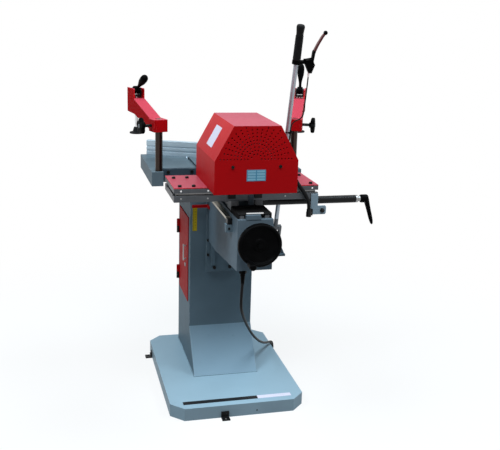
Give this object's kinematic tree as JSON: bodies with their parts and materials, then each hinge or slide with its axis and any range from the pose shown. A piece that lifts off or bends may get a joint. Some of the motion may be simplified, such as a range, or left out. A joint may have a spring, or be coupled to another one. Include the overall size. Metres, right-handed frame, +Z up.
{
  "type": "horizontal slot mortiser",
  "caption": "Floor-standing slot mortiser: hooded motor on a two-way slide and lifting knee, worked by a long hand lever, facing a fixed table with hold-downs and mitre fence.",
  "frame": {"origin": "on the floor under the middle of the base pan", "axes": "+X to the right as seen from the motor side, +Y from the motor towards the work table, +Z up"},
  "size_m": [0.8018, 1.0285, 1.3114],
  "materials": {
    "body_paint": "satin",
    "base_paint": "satin",
    "table_paint": "satin",
    "red_paint": "gloss",
    "black_steel": "satin",
    "dark_iron": "matte",
    "steel": "satin",
    "bright_steel": "polished",
    "fence_metal": "satin",
    "stop_metal": "satin",
    "scale_yellow": "satin",
    "black_plastic": "satin",
    "soft_black": "matte",
    "cable": "matte"
  },
  "bodies": {
    "stand": {"base_pan": "base_paint", "anchor_brackets": "black_steel", "column_shell": "body_paint", "guide_plate": "body_paint", "lift_guide": "body_paint", "height_scale": "scale_yellow", "work_table": "table_paint", "table_apron": "dark_iron", "stand_bolts": "black_steel", "door_hinges": "black_steel", "mains_cord": "cable", "cord_coil": "cable", "mains_plug": "cable"},
    "door": {"door_panel": "red_paint", "door_handle": "bright_steel"},
    "knee": {"knee_box": "body_paint", "guide_shoes": "dark_iron", "knee_pointer": "red_paint", "cross_rails": "dark_iron", "depth_stop": "stop_metal", "bellows": "soft_black", "lever_bracket": "body_paint", "cord_gland": "black_plastic"},
    "wheel": {"handwheel": "black_plastic", "lift_shaft": "steel"},
    "wheel_grip": {"wheel_handle": "black_plastic"},
    "cross_slide": {"lower_plate": "base_paint", "cross_shoes": "dark_iron", "slide_blocks": "dark_iron", "lock_tube": "black_steel", "end_bracket": "body_paint", "slide_fittings": "black_steel"},
    "clamp_lever": {"lock_lever": "black_plastic"},
    "top_slide": {"upper_plate": "base_paint", "long_rails": "steel", "top_cover": "red_paint", "top_fittings": "black_steel", "hood_shell": "red_paint", "motor_housing": "dark_iron", "motor_cable": "cable", "lever_link": "dark_iron"},
    "spindle": {"motor_rotor": "steel", "drill_chuck": "steel"},
    "yoke": {"lever_yoke": "steel"},
    "lever": {"lever_bar": "bright_steel", "lever_grip": "soft_black", "brake_mount": "black_plastic", "brake_cable": "cable"},
    "trigger": {"brake_blade": "red_paint"},
    "left_pillar": {"left_post": "bright_steel"},
    "left_carriage": {"left_arm": "red_paint"},
    "left_plunger": {"left_spindle": "steel"},
    "left_eccentric": {"left_cam": "black_plastic"},
    "left_tightener": {"left_knob": "black_plastic"},
    "right_pillar": {"right_post": "bright_steel"},
    "right_carriage": {"right_arm": "red_paint"},
    "right_plunger": {"right_spindle": "steel"},
    "right_eccentric": {"right_cam": "black_plastic"},
    "right_tightener": {"right_knob": "black_plastic"},
    "fence_rail": {"fence": "fence_metal"}
  },
  "joints": [
    {"name": "door_swing", "type": "hinge", "parent": "stand", "child": "door", "pos_m": [-0.1255, 0.26, 0.44], "axis": [0, 0, -1], "range_deg": [0, 100]},
    {"name": "knee_lift", "type": "slide", "parent": "stand", "child": "knee", "axis": [0, 0, 1], "range_m": [-0.09, 0], "deforming": ["mains_cord"]},
    {"name": "wheel_turn", "type": "hinge", "parent": "knee", "child": "wheel", "pos_m": [0.006, -0.472, 0.662], "axis": [0, 1, 0], "range_deg": [-10, 300]},
    {"name": "handle_spin", "type": "hinge", "parent": "wheel", "child": "wheel_grip", "pos_m": [-0.02811, -0.472, 0.61143], "axis": [0, 1, 0], "continuous": true},
    {"name": "cross_travel", "type": "slide", "parent": "knee", "child": "cross_slide", "axis": [0, 1, 0], "range_m": [-0.02, 0.045], "deforming": ["bellows"]},
    {"name": "clamp_turn", "type": "hinge", "parent": "cross_slide", "child": "clamp_lever", "pos_m": [0.404, -0.23, 0.737], "axis": [1, 0, 0], "range_deg": [-60, 60]},
    {"name": "long_travel", "type": "slide", "parent": "cross_slide", "child": "top_slide", "axis": [1, 0, 0], "range_m": [-0.07, 0.07], "deforming": ["motor_cable"]},
    {"name": "spindle_turn", "type": "hinge", "parent": "top_slide", "child": "spindle", "pos_m": [0, -0.126, 0.905], "axis": [0, 1, 0], "continuous": true},
    {"name": "yoke_swing", "type": "hinge", "parent": "knee", "child": "yoke", "pos_m": [0.174, -0.05197, 0.56], "axis": [0, 1, 0], "range_deg": [-17, 17]},
    {"name": "lever_swing", "type": "hinge", "parent": "yoke", "child": "lever", "pos_m": [0.174, -0.05197, 0.56], "axis": [1, 0, 0], "range_deg": [-12, 6]},
    {"name": "trigger_pull", "type": "hinge", "parent": "lever", "child": "trigger", "pos_m": [0.226, -0.2248, 1.19179], "axis": [0, 0.9646, 0.2639], "range_deg": [-18, 0], "stiffness_Nm_per_rad": 0.6},
    {"name": "fence_turn", "type": "hinge", "parent": "stand", "child": "fence_rail", "pos_m": [-0.1, 0.223, 0.805], "axis": [0, 0, 1], "range_deg": [-20, 22]},
    {"name": "left_swivel", "type": "hinge", "parent": "stand", "child": "left_pillar", "pos_m": [-0.24, -0.025, 0.805], "axis": [0, 0, 1], "range_deg": [-60, 0]},
    {"name": "left_height", "type": "slide", "parent": "left_pillar", "child": "left_carriage", "axis": [0, 0, 1], "range_m": [-0.05, 0]},
    {"name": "left_press", "type": "slide", "parent": "left_carriage", "child": "left_plunger", "axis": [0, 0, 1], "range_m": [0, 0.008]},
    {"name": "left_cam_turn", "type": "hinge", "parent": "left_plunger", "child": "left_eccentric", "pos_m": [-0.29555, 0.1567, 1.062], "axis": [0.9563, 0.2924, 0], "range_deg": [-102, 2]},
    {"name": "left_knob_turn", "type": "hinge", "parent": "left_carriage", "child": "left_tightener", "pos_m": [-0.26008, -0.03114, 0.963], "axis": [-0.9563, -0.2924, 0], "continuous": true},
    {"name": "right_swivel", "type": "hinge", "parent": "stand", "child": "right_pillar", "pos_m": [0.24, -0.025, 0.805], "axis": [0, 0, 1], "range_deg": [0, 60]},
    {"name": "right_height", "type": "slide", "parent": "right_pillar", "child": "right_carriage", "axis": [0, 0, 1], "range_m": [-0.05, 0]},
    {"name": "right_press", "type": "slide", "parent": "right_carriage", "child": "right_plunger", "axis": [0, 0, 1], "range_m": [-0.004, 0.004]},
    {"name": "right_cam_turn", "type": "hinge", "parent": "right_plunger", "child": "right_eccentric", "pos_m": [0.31117, 0.15116, 1.062], "axis": [0.9272, -0.3746, 0], "range_deg": [-52, 52]},
    {"name": "right_knob_turn", "type": "hinge", "parent": "right_carriage", "child": "right_tightener", "pos_m": [0.25947, -0.03287, 0.963], "axis": [0.9272, -0.3746, 0], "continuous": true}
  ],
  "couplings": [
    {"joint": "wheel_turn", "follows": "knee_lift", "rad_per_m": -55.556},
    {"joint": "yoke_swing", "follows": "long_travel", "rad_per_m": 3.9062},
    {"joint": "lever_swing", "follows": "cross_travel", "rad_per_m": -3.9062},
    {"joint": "left_cam_turn", "follows": "left_press", "rad_per_m": -218.15},
    {"joint": "right_cam_turn", "follows": "right_press", "rad_per_m": -218.15}
  ]
}
